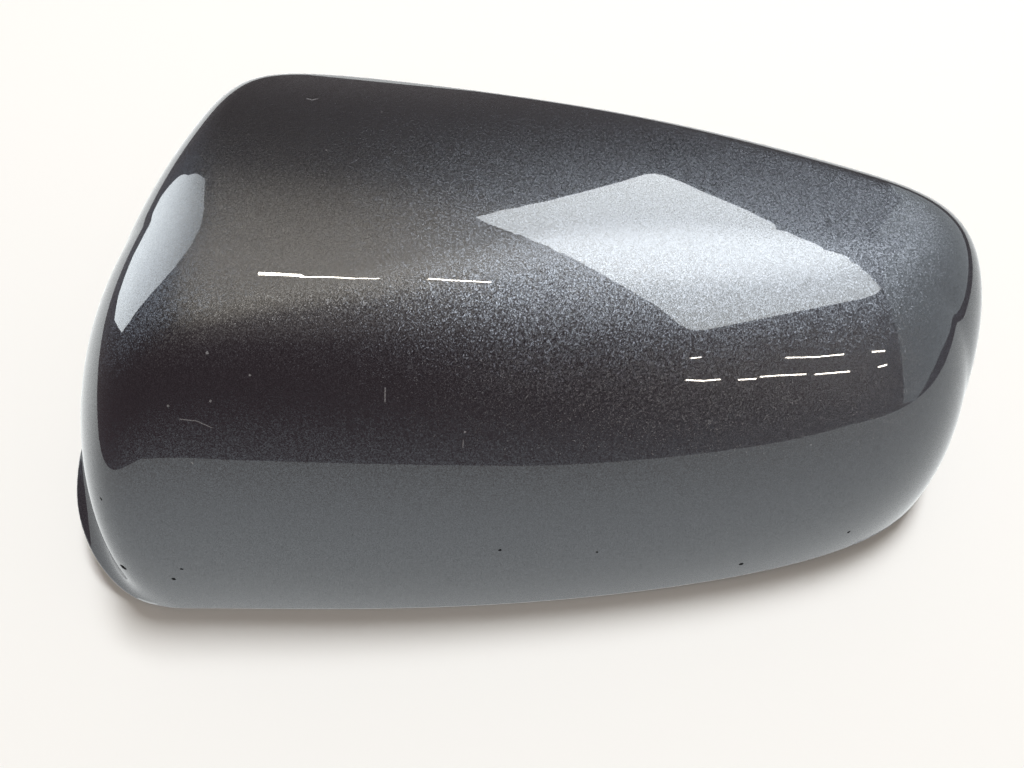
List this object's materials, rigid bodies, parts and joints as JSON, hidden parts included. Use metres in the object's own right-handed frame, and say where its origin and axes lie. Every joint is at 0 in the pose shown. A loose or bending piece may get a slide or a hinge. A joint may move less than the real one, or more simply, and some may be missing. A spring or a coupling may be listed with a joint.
{
  "type": "wing mirror cover",
  "caption": "Painted shell that clips over the back of a car's wing mirror: long rounded face, tight upper crease, tapered tip and a flared arch in the rim for the mirror arm.",
  "frame": {"origin": "middle of the bounding box, on the plane of the rim", "axes": "X along the cover from the arm end to the tip, Y across it towards the upper crease, Z from the rim to the crown"},
  "size_m": [0.2458, 0.1466, 0.0869],
  "materials": {
    "painted_shell": "dark metallic grey paint under clear coat"
  },
  "bodies": {
    "root": {"mirror_cover": "painted_shell"}
  },
  "joints": []
}
